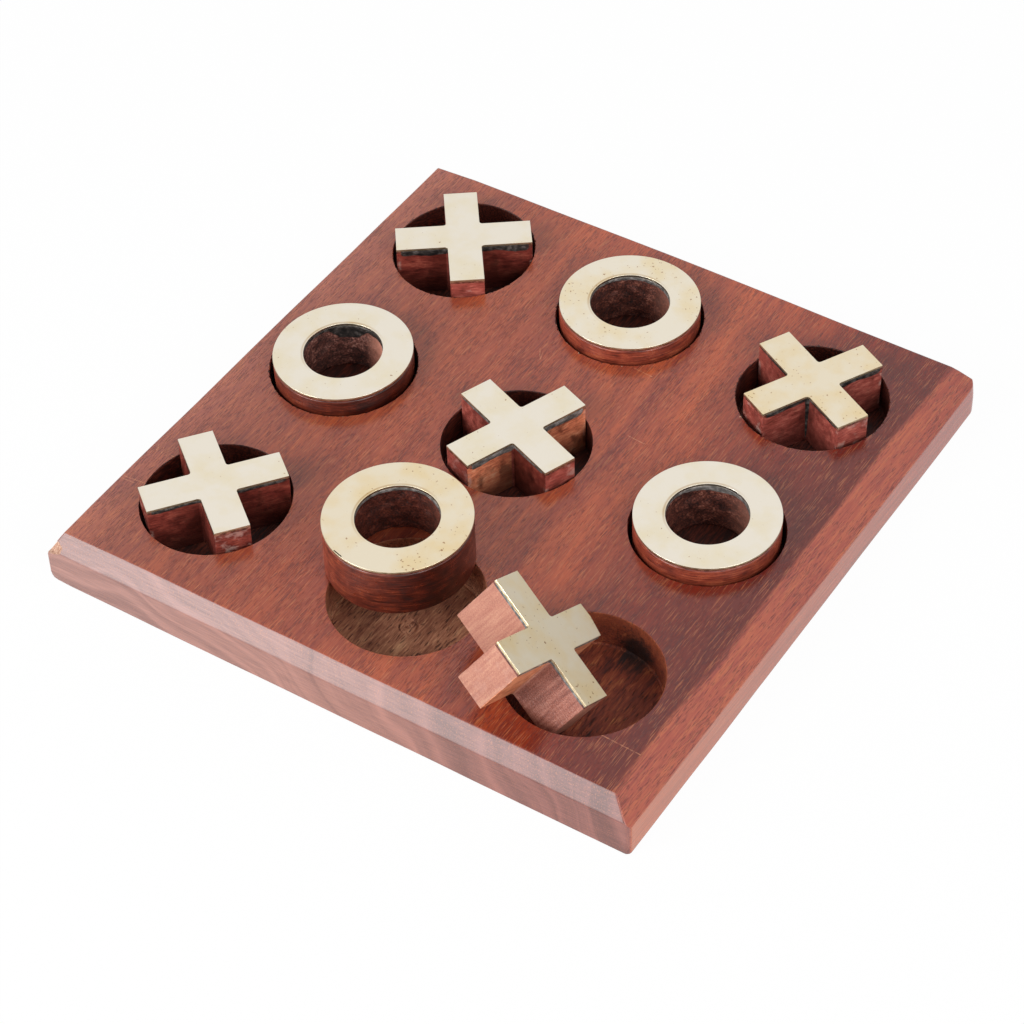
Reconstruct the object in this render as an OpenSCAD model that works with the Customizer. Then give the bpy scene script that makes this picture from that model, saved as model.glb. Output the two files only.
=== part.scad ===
/* [Board] */
// Width of the board along its front edge
board_w = 152; // [146:0.5:190]
// Depth of the board along the grain, from the front edge to the back edge
board_d = 158.4; // [152:0.4:200]
// Thickness of the board
board_t = 13.5; // [12:0.5:20]

/* [Edge bevels] */
// Width of the front bevel, seen from above
front_bevel_w = 3.5; // [1:0.1:5]
// Height of the front bevel
front_bevel_h = 4; // [1:0.1:8]
// Width of the right bevel, seen from above
right_bevel_w = 5.4; // [1:0.1:7]
// Height of the right bevel
right_bevel_h = 4.9; // [1:0.1:8]
// Width of the back bevel, seen from above
back_bevel_w = 4.6; // [1:0.1:6]
// Height of the back bevel
back_bevel_h = 5.8; // [1:0.1:8]
// Width of the left bevel, seen from above
left_bevel_w = 3.3; // [1:0.1:6]
// Height of the left bevel
left_bevel_h = 6; // [1:0.1:8]

/* [Upright corners] */
// Radius of the front left corner
front_left_corner_r = 2.5; // [0.5:0.1:6]
// Radius of the front right corner, nearest the viewer
front_right_corner_r = 1.2; // [0.5:0.1:6]
// Radius of the back right corner
back_right_corner_r = 3.5; // [0.5:0.1:6]
// Radius of the back left corner
back_left_corner_r = 1; // [0.5:0.1:6]

/* [Pockets] */
// Diameter of every pocket, one bit's width
pocket_d = 35; // [32:0.1:38]
// Distance of the outer columns of pockets from the board's left and right sides, to their middles
side_margin = 26.9; // [26:0.1:30]
// Distance of the outer rows of pockets from the board's front and back, to their middles
end_margin = 28.5; // [27.5:0.1:32]
// Sideways place of the middle column, from the board's middle
field_x = -1; // [-1.5:0.1:1.5]
// Depth of a pocket, where no other depth is given for it
pocket_depth = 8.4; // [5:0.1:9.5]
// Depth of the back left pocket
back_left_depth = 9.2; // [5:0.1:10]
// Depth of the front middle pocket
front_middle_depth = 9.6; // [5:0.1:10]
// Depth of the front right pocket
front_right_depth = 9.2; // [8.6:0.1:10]

/* [How far each pocket was bored off its crossing] */
// Back left pocket, to the right
back_left_dx = 0.5; // [-2:0.1:2]
// Back left pocket, towards the back
back_left_dy = 0.3; // [-2:0.1:1]
// Back middle pocket, to the right
back_middle_dx = -1.6; // [-2:0.1:2]
// Back middle pocket, towards the back
back_middle_dy = 0.4; // [-2:0.1:1]
// Back right pocket, to the right
back_right_dx = -0.3; // [-2:0.1:1]
// Back right pocket, towards the back
back_right_dy = -1.8; // [-2:0.1:1]
// Middle left pocket, to the right
middle_left_dx = -0.7; // [-2:0.1:2]
// Middle left pocket, towards the back
middle_left_dy = 1.6; // [-2:0.1:2]
// Midmost pocket, to the right
midmost_dx = -1.1; // [-2:0.1:2]
// Midmost pocket, towards the back
midmost_dy = 0.7; // [-2:0.1:2]
// Middle right pocket, to the right
middle_right_dx = 0.5; // [-2:0.1:1]
// Middle right pocket, towards the back
middle_right_dy = -0.7; // [-2:0.1:2]
// Front left pocket, to the right
front_left_dx = 0.1; // [-2:0.1:2]
// Front left pocket, towards the back
front_left_dy = 0.8; // [-1:0.1:2]
// Front middle pocket, to the right
front_middle_dx = 4.4; // [-4.5:0.1:4.5]
// Front middle pocket, towards the back
front_middle_dy = -1.7; // [-2:0.1:2]
// Front right pocket, to the right
front_right_dx = -0.2; // [-2:0.1:1]
// Front right pocket, towards the back
front_right_dy = -0.4; // [-2:0.1:2]

/* [Game pieces] */
// Clearance all round between a piece and its pocket's wall
piece_play = 0.75; // [0.4:0.05:1.5]
// Height of a cross's wood
x_wood_h = 12.7; // [10:0.1:16]
// Height of a ring's wood
o_wood_h = 11.9; // [10:0.1:16]
// Width of a cross's arms
arm_w = 8.2; // [6:0.1:12]
// Radius left by the file in a cross's four inner corners
notch_r = 0.6; // [0.2:0.1:1.5]
// Diameter of a ring's hole
ring_hole_d = 18.9; // [12:0.1:24]
// Thickness of the brass plate on a piece
plate_t = 0.6; // [0.4:0.1:1.5]
// Thickness of the glue under the plate
glue_t = 0.4; // [0.2:0.1:1]
// How far the glue stays back from the plate's edge
glue_inset = 0.15; // [0.05:0.05:0.5]

/* [How the crosses are turned] */
// Turn of the back left cross, degrees
back_left_turn = 36.4; // [0:0.1:90]
// Turn of the back right cross, degrees
back_right_turn = 61.8; // [0:0.1:90]
// Turn of the midmost cross, degrees
midmost_turn = 68.4; // [0:0.1:90]
// Turn of the front left cross, degrees
front_left_turn = 51.6; // [0:0.1:90]

/* [Leaning cross] */
// How far the front right cross is tipped from lying flat, degrees
lean_tilt = 38.6; // [34:0.1:45]
// Compass direction that its brass faces, counted from the board's right, degrees
lean_facing = 32.5; // [20:0.5:50]
// Turn of the cross about its own axis, degrees
lean_turn = 46.6; // [30:0.5:60]
// Compass direction in which it has slid against the pocket's rim, degrees
lean_slide = 211.6; // [190:0.5:230]
// Clearance between the leaning cross and the pocket's rim and wall
lean_gap = 0.15; // [0.05:0.05:0.5]

/* [Ring set down beside its pocket] */
// Place of the standing ring from its pocket's middle, to the right
standing_dx = -7.6; // [-9:0.1:-5]
// Place of the standing ring from its pocket's middle, towards the back
standing_dy = 8.8; // [6:0.1:10]

/* [Fits] */
// Clearance under a piece that rests flat on wood
rest_gap = 0.05; // [0.02:0.01:0.3]

/* [Hidden] */
$fn = 96;
// How far a cutting shape runs past the surface that it cuts
over = 2;
// Step of the search for the leaning cross's place
slide_step = 0.05;

// Distances between the columns and between the rows of pockets
pitch_x = board_w / 2 - side_margin;
pitch_y = board_d / 2 - end_margin;

// Places of the pocket centres: the crossing, and how far off it the pocket was bored
function pocket_at(column, row, dx, dy) = [field_x + column * pitch_x + dx, row * pitch_y + dy];

BACK_LEFT = pocket_at(-1, 1, back_left_dx, back_left_dy);
BACK_MIDDLE = pocket_at(0, 1, back_middle_dx, back_middle_dy);
BACK_RIGHT = pocket_at(1, 1, back_right_dx, back_right_dy);
MIDDLE_LEFT = pocket_at(-1, 0, middle_left_dx, middle_left_dy);
MIDMOST = pocket_at(0, 0, midmost_dx, midmost_dy);
MIDDLE_RIGHT = pocket_at(1, 0, middle_right_dx, middle_right_dy);
FRONT_LEFT = pocket_at(-1, -1, front_left_dx, front_left_dy);
FRONT_MIDDLE = pocket_at(0, -1, front_middle_dx, front_middle_dy);
FRONT_RIGHT = pocket_at(1, -1, front_right_dx, front_right_dy);

// Every pocket: its centre and its depth
POCKETS = [
    [BACK_LEFT, back_left_depth],
    [BACK_MIDDLE, pocket_depth],
    [BACK_RIGHT, pocket_depth],
    [MIDDLE_LEFT, pocket_depth],
    [MIDMOST, pocket_depth],
    [MIDDLE_RIGHT, pocket_depth],
    [FRONT_LEFT, pocket_depth],
    [FRONT_MIDDLE, front_middle_depth],
    [FRONT_RIGHT, front_right_depth],
];

pocket_r = pocket_d / 2;
piece_r = pocket_r - piece_play;
x_h = x_wood_h + glue_t + plate_t;
// Length of a cross's two bars: their corners lie on the circle that the rings are turned to
bar_l = sqrt(pow(2 * piece_r, 2) - pow(arm_w, 2));

// A piece that sits flat: its pocket's centre, and the height of its foot over the board's underside
function seated(centre, depth) = [centre.x, centre.y, board_t - depth + rest_gap];
STANDING = [FRONT_MIDDLE.x + standing_dx, FRONT_MIDDLE.y + standing_dy, board_t + rest_gap];

// The leaning cross as points: the corners of one bar of the cross, seen from above
BAR = [for (side = [[1, 1], [-1, 1], [-1, -1], [1, -1]]) [side.x * bar_l / 2, side.y * arm_w / 2]];

// Turning about the upright axis, tipping over towards +X, and the whole lean
function turned(p, a) = [p.x * cos(a) - p.y * sin(a), p.x * sin(a) + p.y * cos(a), p.z];
function tipped(p, a) = [p.x * cos(a) + p.z * sin(a), p.y, p.z * cos(a) - p.x * sin(a)];
function leaned(p) = turned(tipped(turned(p, lean_turn), lean_tilt), lean_facing);

// The corners of a bar at a height over the cross's foot, leaned
function bar_ring(turn, height) = [for (p = BAR) leaned(turned([p.x, p.y, height], turn))];
FEET = [bar_ring(0, 0), bar_ring(90, 0)];
TOPS = [bar_ring(0, x_h), bar_ring(90, x_h)];
lowest = min([for (bar = FEET) for (p = bar) p.z]);

// Height of the board's top over the cross's lowest point, when that stands on the pocket's floor
floor_z = board_t - front_right_depth + rest_gap;
rim_z = lowest + board_t - floor_z;

// The points where the bars' edges pass the rim's height, and the corners below it
function passing(p, q) =
    (p.z - rim_z) * (q.z - rim_z) < 0 ? [p + (q - p) * (rim_z - p.z) / (q.z - p.z)] : [];
function next(ring, i) = ring[(i + 1) % len(ring)];
BELOW_RIM = [
    for (bar = [0, 1])
    for (i = [0:len(FEET[bar]) - 1])
    let (foot = FEET[bar][i])
    let (top = TOPS[bar][i])
    each concat(
        foot.z <= rim_z ? [foot] : [],
        top.z <= rim_z ? [top] : [],
        passing(foot, top),
        passing(foot, next(FEET[bar], i)),
        passing(top, next(TOPS[bar], i))
    )
];

// How far out from the pocket's middle the sunk part of the cross reaches, after a slide
function reach(slide) =
    let (out = [slide * cos(lean_slide), slide * sin(lean_slide)])
    max([for (p = BELOW_RIM) norm([p.x + out.x, p.y + out.y])]);
slide = max(concat([0], [for (s = [0:slide_step:pocket_r]) if (reach(s) <= pocket_r - lean_gap) s]));
LEANING = [
    FRONT_RIGHT.x + slide * cos(lean_slide),
    FRONT_RIGHT.y + slide * sin(lean_slide),
    floor_z - lowest
];

// Every seated cross: its name, the place of its foot and its turn
SEATED_CROSSES = [
    ["x_back_left", seated(BACK_LEFT, back_left_depth), back_left_turn],
    ["x_back_right", seated(BACK_RIGHT, pocket_depth), back_right_turn],
    ["x_centre", seated(MIDMOST, pocket_depth), midmost_turn],
    ["x_front_left", seated(FRONT_LEFT, pocket_depth), front_left_turn],
];

// Every ring: its name and the place of its foot
RINGS = [
    ["o_back_middle", seated(BACK_MIDDLE, pocket_depth)],
    ["o_middle_left", seated(MIDDLE_LEFT, pocket_depth)],
    ["o_middle_right", seated(MIDDLE_RIGHT, pocket_depth)],
    ["o_front_middle", STANDING],
];

LAYERS = ["_wood", "_glue", "_plate"];
PIECES = concat([for (x = SEATED_CROSSES) x[0]], ["x_front_right"], [for (o = RINGS) o[0]]);

// What rounding takes off one upright corner, for a corner in the +X +Y quarter
module corner_waste(r) {
    translate([board_w / 2 - r, board_d / 2 - r, -over])
        difference() {
            cube([r + over, r + over, board_t + 2 * over]);
            translate([0, 0, -over])
                cylinder(r = r, h = board_t + 4 * over);
        }
}

// The wedge that a bevel takes off the edge on the side that faces turn, over an edge of the given length
module bevel_waste(turn, side, edge, bevel_w, bevel_h) {
    inner = [side - bevel_w, board_t] - [bevel_w, -bevel_h] / 2;
    outer = [side, board_t - bevel_h] + [bevel_w, -bevel_h] / 2;
    rotate([0, 0, turn])
        translate([0, edge / 2 + over, 0])
            rotate([90, 0, 0])
                linear_extrude(edge + 2 * over)
                    polygon([inner, outer, [outer.x, inner.y]]);
}

// The playing board: one slab with four bevels and nine blind pockets
module board() {
    color("#94503f")
        difference() {
            translate([-board_w / 2, -board_d / 2, 0])
                cube([board_w, board_d, board_t]);
            corner_waste(back_right_corner_r);
            mirror([1, 0, 0])
                corner_waste(back_left_corner_r);
            mirror([0, 1, 0])
                corner_waste(front_right_corner_r);
            rotate([0, 0, 180])
                corner_waste(front_left_corner_r);
            bevel_waste(0, board_w / 2, board_d, right_bevel_w, right_bevel_h);
            bevel_waste(90, board_d / 2, board_w, back_bevel_w, back_bevel_h);
            bevel_waste(180, board_w / 2, board_d, left_bevel_w, left_bevel_h);
            bevel_waste(270, board_d / 2, board_w, front_bevel_w, front_bevel_h);
            for (pocket = POCKETS)
                translate([pocket[0].x, pocket[0].y, board_t - pocket[1]])
                    cylinder(r = pocket_r, h = pocket[1] + over);
        }
}

// A cross seen from above: two crossed bars with square ends; inset draws its whole outline inwards
module cross_outline(inset) {
    arm = arm_w / 2 - inset;
    square([bar_l - 2 * inset, 2 * arm], center = true);
    square([2 * arm, bar_l - 2 * inset], center = true);
    for (quarter = [0:90:270])
        rotate(quarter)
            translate([arm, arm])
                difference() {
                    square(notch_r);
                    translate([notch_r, notch_r])
                        circle(r = notch_r);
                }
}

// One layer of a cross, from a height over its foot
module cross_layer(base, thickness, inset) {
    translate([0, 0, base])
        linear_extrude(thickness)
            cross_outline(inset);
}

// One layer of a ring, from a height over its foot
module ring_layer(base, thickness, inset) {
    translate([0, 0, base])
        difference() {
            cylinder(r = piece_r - inset, h = thickness);
            translate([0, 0, -over])
                cylinder(r = ring_hole_d / 2 + inset, h = thickness + 2 * over);
        }
}

module x_wood() {
    color("#8c4636")
        cross_layer(0, x_wood_h, 0);
}

module x_glue() {
    color("#4c484b")
        cross_layer(x_wood_h, glue_t, glue_inset);
}

module x_plate() {
    color("#e2d3a6")
        cross_layer(x_wood_h + glue_t, plate_t, 0);
}

module o_wood() {
    color("#7c3a2c")
        ring_layer(0, o_wood_h, 0);
}

module o_glue() {
    color("#4c484b")
        ring_layer(o_wood_h, glue_t, glue_inset);
}

module o_plate() {
    color("#e2d3a6")
        ring_layer(o_wood_h + glue_t, plate_t, 0);
}

// The leaning cross stands on its pocket's floor and lies against the pocket's rim
module leaning() {
    translate(LEANING)
        rotate([0, lean_tilt, lean_facing])
            rotate([0, 0, lean_turn])
                children();
}

board();

for (x = SEATED_CROSSES) {
    translate(x[1]) rotate(x[2]) x_wood();
    translate(x[1]) rotate(x[2]) x_glue();
    translate(x[1]) rotate(x[2]) x_plate();
}

leaning() x_wood();  // x_front_right_wood
leaning() x_glue();  // x_front_right_glue
leaning() x_plate();  // x_front_right_plate

for (o = RINGS) {
    translate(o[1]) o_wood();
    translate(o[1]) o_glue();
    translate(o[1]) o_plate();
}
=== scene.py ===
import math

import bmesh
import bpy
from mathutils import Matrix, Vector, noise


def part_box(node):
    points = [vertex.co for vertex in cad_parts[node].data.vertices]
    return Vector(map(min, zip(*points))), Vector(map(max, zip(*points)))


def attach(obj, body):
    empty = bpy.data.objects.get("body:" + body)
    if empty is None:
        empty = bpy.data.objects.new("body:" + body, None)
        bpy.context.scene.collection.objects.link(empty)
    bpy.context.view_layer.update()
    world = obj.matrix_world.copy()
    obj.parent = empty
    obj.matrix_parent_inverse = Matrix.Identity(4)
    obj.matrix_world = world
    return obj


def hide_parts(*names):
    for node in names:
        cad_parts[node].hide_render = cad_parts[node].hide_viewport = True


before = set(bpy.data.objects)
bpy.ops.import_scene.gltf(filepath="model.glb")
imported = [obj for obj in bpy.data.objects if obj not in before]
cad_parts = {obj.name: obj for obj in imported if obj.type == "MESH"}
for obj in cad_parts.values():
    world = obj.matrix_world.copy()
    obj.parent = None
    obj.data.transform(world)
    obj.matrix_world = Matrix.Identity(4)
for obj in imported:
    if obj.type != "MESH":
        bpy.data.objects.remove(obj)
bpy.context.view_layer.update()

# The noise that bends the surfaces starts from the clock without a seed, and every run has to be the same
noise.seed_set(7)

# Sizes are in millimetres, and every finished mesh is scaled to metres
MM = 0.001

BOARD_W = 152
BOARD_D = 158.4
BOARD_T = 13.5
POCKET_R = 17.5
PIECE_R = 16.75
RING_HOLE_R = 9.45
ARM_HALF = 4.1
NOTCH_R = 0.7
X_WOOD_H = 12.7
O_WOOD_H = 11.9
GLUE_T = 0.4
PLATE_T = 0.6

# Radius of each upright corner of the board: side, end, radius
CORNERS = [(-1, -1, 0.8), (1, -1, 1.2), (1, 1, 3.5), (-1, 1, 1.0)]

# Bevels of the board's top: the way each faces, how far out its side stands, its width and its height
BEVELS = [
    (Vector((1, 0, 0)), BOARD_W / 2, 5.4, 4.9),
    (Vector((0, 1, 0)), BOARD_D / 2, 4.6, 5.8),
    (Vector((-1, 0, 0)), BOARD_W / 2, 3.3, 6.0),
    (Vector((0, -1, 0)), BOARD_D / 2, 3.5, 4.0),
]

# Numbers of the board's materials, after the planed wood's 0
BORED = 1
TORN = 2
# The pockets that hold a piece are painted nearly black as shade
SHADED_POCKET = 3

# Middle, depth, width and length of each pocket as it was bored, with the bit wandering a little, then the
# material of its floor and wall, and how far its rim is torn
POCKETS = [
    (-49.7, 51.0, 9.2, 34.0, 35.6, SHADED_POCKET, 0.5),
    (-2.6, 51.1, 8.4, 35.0, 35.0, SHADED_POCKET, 0.9),
    (48.0, 48.6, 8.4, 35.2, 35.2, SHADED_POCKET, 0.9),
    (-50.9, 1.6, 8.4, 34.4, 35.2, SHADED_POCKET, 0.7),
    (-2.1, 0.4, 8.4, 34.3, 35.0, SHADED_POCKET, 0),
    (48.6, -0.7, 8.4, 35.0, 35.0, SHADED_POCKET, 0),
    (-49.9, -49.8, 8.4, 33.8, 35.4, SHADED_POCKET, 0),
    (3.4, -52.4, 9.6, 35.0, 35.0, BORED, 0),
    (47.8, -51.4, 9.2, 35.0, 35.2, BORED, 0),
]

# The black spot on the back wall of the front right pocket
BLACK_SPOT = (51, -34.8, 4.5)

# The chip at the front left corner: its middle and its half sizes
CHIP_AT = (-BOARD_W / 2, -BOARD_D / 2, 10.3)
CHIP_SIZE = (4.3, 2.6, 2.0)

# From the pith of the tree to the board's middle, how far the grain rises along the board, in degrees, and
# how far from the middle the board's colours go on changing along the grain
FROM_PITH = (62, 0, 70)
GRAIN_RISE = 2.5
COLOUR_REACH = 79

# Scratches in the lacquer, each from a point to a point, and half their width
SCRATCH_HALF = 0.12
SCRATCHES = [
    ((7.9, 35.2), (12.9, 34.8)),
    ((-14.6, 29.6), (-13.2, 27.2)),
    ((-13.4, 28.9), (-12.6, 26.4)),
    ((18.4, 15.0), (22.9, 14.6)),
    ((55.0, -64.4), (69.6, -65.0)),
    ((-72.7, -43.8), (-66.0, -44.6)),
    ((-72.4, -55.4), (-66.5, -54.8)),
    ((-72.6, -56.2), (-68.4, -55.9)),
    ((-71.6, -43.2), (-71.0, -44.8)),
    ((-70.0, -43.4), (-69.4, -45.1)),
    ((-68.4, -43.7), (-67.9, -45.3)),
]

# How each cross lies (the way it faces, its tilt and its own turn, in degrees), how far the sawn ends of
# its four arms are from its middle, and how far its glue has run
CROSSES = {
    "x_back_left": ((0, 0, 36.4), (16.4, 16.2, 16.5, 16.6), 1.3),
    "x_back_right": ((0, 0, 61.8), (16.3, 16.6, 16.3, 16.3), 0.7),
    "x_centre": ((0, 0, 68.4), (16.4, 16.2, 16.6, 16.5), 1.2),
    "x_front_left": ((0, 0, 51.6), (16.4, 16.1, 16.4, 15.9), 0.3),
    "x_front_right": ((32.5, 38.6, 46.6), (16.0, 16.3, 16.2, 16.3), 0.1),
}

# The leaning cross's first arm, worn slanting at its end: points across the end
WORN_BODY = "x_front_right"
WORN_END = [(15.1, -ARM_HALF), (16.1, 0.6), (15.9, ARM_HALF)]

# How far from a cross's middle its wood begins to whiten towards its sawn ends and is white, where its glue
# is thin, and where no glue runs down any more
BLOOM_FROM = 15.4
BLOOM_TO = 15.9
THIN_GLUE_FROM = 15.5
GLUE_RUNS_TO = 16

# How much wider and longer than round each ring is, and how far its glue has run
RINGS = {
    "o_back_middle": (1.0, 1.0, 0.4),
    "o_middle_left": (0.968, 1.01, 0.6),
    "o_middle_right": (0.985, 1.0, 0.9),
    "o_front_middle": (0.99, 1.01, 0.4),
}

# How far the rings' fibres are turned from their own X, in degrees
RING_TURN = 25

# How far apart the pieces' woods lie in the frame of their grain, and the first ring's place in that row
STACK = 40
FIRST_RING = 6

# Drips of glue down the inside of a piece: the place of each, its length and how far it reaches
NO_DRIP = (0, 0, 0, 1)
DRIPS = {"x_back_right": (-ARM_HALF, -ARM_HALF, 11.5, 0.7), "o_middle_left": (-4.5, 8.3, 2.6, 5)}

# How far the squeezed-out glue laps down over the wood
GLUE_LAP = 0.1

# The golden line round a ring's hole, a painted reflection of its worn bevel, and half its width
BEVEL_REFLECTION_R = RING_HOLE_R + 0.4
BEVEL_REFLECTION_HALF = 0.4

# A nick in the standing ring's plate, from a point to a point in its own frame, and half its width
NICK_HALF = 0.13
NICKS = [((1.2, -16.5), (3.6, -16.1))]

# How near to a face a point still counts as being on it
ON_FACE = 0.3


# Nodes

def linear(code):
    """An sRGB hex colour as linear RGBA."""
    channels = [int(code[i:i + 2], 16) / 255 for i in (1, 3, 5)]
    return [c / 12.92 if c <= 0.04045 else ((c + 0.055) / 1.055) ** 2.4 for c in channels] + [1]


def add(tree, kind, values=(), stops=(), **settings):
    """Adds a shader node with its settings and a ramp's stops. Values go into its sockets in order or by
    name, and one may be a node or a socket."""
    node = tree.nodes.new("ShaderNode" + kind)
    for name, setting in settings.items():
        setattr(node, name, setting)
    if stops:
        elements = node.color_ramp.elements
        while len(elements) < len(stops):
            elements.new(1.0)
        for element, (position, shade) in zip(elements, stops):
            element.position = position
            element.color = linear(shade) if isinstance(shade, str) else [shade] * 3 + [1]
    pairs = values.items() if isinstance(values, dict) else enumerate(values)
    for key, value in pairs:
        named = [s for s in node.inputs if s.name == key and s.enabled]
        socket = named[0] if named else node.inputs[key]
        if isinstance(value, bpy.types.Node):
            value = next(s for s in value.outputs if s.enabled)
        if isinstance(value, bpy.types.NodeSocket):
            tree.links.new(value, socket)
        else:
            socket.default_value = linear(value) if isinstance(value, str) else value
    return node


def empty_material(name):
    """A node material and its tree, with nothing in it."""
    material = bpy.data.materials.new(name)
    material.use_nodes = True
    material.node_tree.nodes.clear()
    return material, material.node_tree


def new_material(name):
    """An empty node material, its tree, and the point in the frame of the piece's grain, in mm."""
    material, tree = empty_material(name)
    place = add(tree, "Attribute", attribute_name="grain").outputs["Vector"]
    return material, tree, place


def finish_material(tree, base, roughness, height, depth, ior=1.5, metallic=0.0):
    """The shader with a bump of a depth in mm, and the output."""
    bump = add(tree, "Bump", {"Strength": 1.0, "Distance": depth * MM, "Height": height})
    values = {"Base Color": base, "Roughness": roughness, "IOR": ior, "Metallic": metallic, "Normal": bump}
    add(tree, "OutputMaterial", {"Surface": add(tree, "BsdfPrincipled", values)})


def spread(shades):
    """Stops for four shades, from dark to light, over the middle range that most of a noise keeps to."""
    return list(zip((0.36, 0.46, 0.54, 0.64), shades))


def mottle(tree, place, cell, detail=2.0, roughness=0.5):
    """Noise from 0 to 1, with blotches of a size in mm along each axis."""
    scaled = add(tree, "VectorMath", (place, cell), operation="DIVIDE")
    return add(tree, "TexNoise", {"Vector": scaled, "Scale": 1.0, "Detail": detail, "Roughness": roughness})


def growth_layers(tree, place, layer):
    """Bands from 0 to 1 round the pith, which runs along Y at the frame's origin, wavy as the trunk was. A
    layer's thickness is in mm."""
    parts = add(tree, "SeparateXYZ", (place,))
    across = add(tree, "CombineXYZ", (parts.outputs[0], 0.0, parts.outputs[2]))
    radius = add(tree, "VectorMath", (across,), operation="LENGTH").outputs["Value"]
    wander = add(tree, "Math", (mottle(tree, place, (38, 120, 38)), 30.0), operation="MULTIPLY")
    bent = add(tree, "Math", (radius, wander), operation="ADD")
    depth = add(tree, "Math", (bent, layer), operation="DIVIDE")
    settings = {"W": depth, "Scale": 1.0, "Detail": 4.0, "Roughness": 0.55}
    return add(tree, "TexNoise", settings, noise_dimensions="1D")


def seen_from_above(tree, place):
    """The point with its height left out."""
    parts = add(tree, "SeparateXYZ", (place,))
    return add(tree, "CombineXYZ", (parts.outputs[0], parts.outputs[1], 0.0))


def scratches(tree, place, lines, half_width):
    """1 on straight scratches across the top, each from a point to a point, and 0 elsewhere."""
    flat = seen_from_above(tree, place)
    marks = 0.0
    for start, end in lines:
        along = Vector(end).to_3d() - Vector(start).to_3d()
        offset = add(tree, "VectorMath", (flat, Vector(start).to_3d()), operation="SUBTRACT")
        reached = add(tree, "VectorMath", (offset, along / along.length_squared), operation="DOT_PRODUCT")
        share = add(tree, "Math", (reached.outputs["Value"], 0.0), operation="ADD", use_clamp=True)
        nearest = add(tree, "VectorMath", {0: along, "Scale": share}, operation="SCALE")
        gap = add(tree, "VectorMath", (offset, nearest), operation="DISTANCE").outputs["Value"]
        mark = add(tree, "Math", (gap, half_width), operation="LESS_THAN")
        marks = add(tree, "Math", (mark, marks), operation="MAXIMUM")
    return marks


def painted_bevel_reflection(tree, place):
    """Up to 1 on a line round a ring's hole, the painted reflection of a worn bevel, most on the side of its
    own -X, and 0 elsewhere.
    """
    flat = seen_from_above(tree, place)
    from_middle = add(tree, "VectorMath", (flat,), operation="LENGTH").outputs["Value"]
    offset = add(tree, "Math", (from_middle, BEVEL_REFLECTION_R), operation="SUBTRACT")
    gap = add(tree, "Math", (offset,), operation="ABSOLUTE")
    line = add(tree, "MapRange", {"Value": gap, "From Min": BEVEL_REFLECTION_HALF, "From Max": 0.0})
    # Most on the side of its own -X, where the bevel's painted reflection shows
    x = add(tree, "SeparateXYZ", (place,)).outputs[0]
    worn = add(tree, "MapRange", {"Value": x, "From Min": 3, "From Max": -7})
    return add(tree, "Math", (line, worn), operation="MULTIPLY")


# Wood of the board

def planed_colour(tree, tone, across, along):
    """Dark and light streaks: pinkish at the sap side and darker at the heart side, under painted light that
    brightens the back.
    """
    dark = add(tree, "ValToRGB", (across,), stops=[
        (0.0, "#a45a55"), (0.08, "#89433e"), (0.2, "#85382d"), (0.43, "#8a382d"), (0.645, "#903a2e"),
        (0.82, "#6a1d14"), (0.95, "#681910"),
    ])
    light = add(tree, "ValToRGB", (across,), stops=[
        (0.0, "#d57f60"), (0.08, "#be6647"), (0.2, "#be5b36"), (0.43, "#c45c37"), (0.645, "#d16439"),
        (0.82, "#993116"), (0.95, "#78210f"),
    ])
    planed = add(tree, "Mix", {"Factor": tone, "A": dark, "B": light}, data_type="RGBA")
    # Painted light: darker towards the front and brightest at the back
    painted_back_light = add(tree, "ValToRGB", (along,), stops=[(0.2, 0.78), (0.45, 0.83), (0.9, 0.85), (0.97, 1.0)])
    return add(tree, "VectorMath", (planed, painted_back_light), operation="MULTIPLY")


def side_colour(tree, tone, along):
    """The right side, cut across the layers: orange at the front and redder at the back."""
    near = add(tree, "ValToRGB", (tone,), stops=[(0.1, "#964a2a"), (0.9, "#c06236")])
    far = add(tree, "ValToRGB", (tone,), stops=[(0.1, "#7a2e24"), (0.9, "#a1412f")])
    return add(tree, "Mix", {"Factor": along, "A": near, "B": far}, data_type="RGBA")


def end_colour(tree, place, layers, across, slope):
    """Where the fibres end: greyer, banded by the growth layers, brushed sideways, and with a painted cool
    sheen on a bevel.
    """
    dark = add(tree, "ValToRGB", (across,), stops=[(0.1, "#815c56"), (0.5, "#80574f"), (0.86, "#683f3a")])
    light = add(tree, "ValToRGB", (across,), stops=[(0.1, "#af8177"), (0.5, "#ae7a6d"), (0.86, "#955f57")])
    brushed = mottle(tree, place, (7, 0.3, 0.3), 3.0, 0.6)
    lined = add(tree, "Mix", {"Factor": 0.45, "A": layers, "B": brushed}, data_type="FLOAT")
    banded = add(tree, "MapRange", {"Value": lined, "From Min": 0.36, "From Max": 0.64})
    ends = add(tree, "Mix", {"Factor": banded, "A": dark, "B": light}, data_type="RGBA")
    # Painted sheen: cooler and a little darker where the end grain faces up on a bevel
    painted_sheen_tint = add(tree, "ValToRGB", (slope,), stops=[(0.2, "#ffffff"), (0.5, "#e6e9f0")])
    return add(tree, "VectorMath", (ends, painted_sheen_tint), operation="MULTIPLY")


def open_pores(tree, place):
    """1 in short pores along the grain, which come in clusters, and 0 elsewhere."""
    crowd = mottle(tree, place, (5, 14, 5), 2.0)
    crowded = add(tree, "Math", (crowd, 0.4), operation="MULTIPLY")
    open_grain = add(tree, "Math", (mottle(tree, place, (0.2, 2.4, 0.2), 1.0), crowded), operation="ADD")
    return add(tree, "MapRange", {"Value": open_grain, "From Min": 0.77, "From Max": 0.83})


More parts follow.
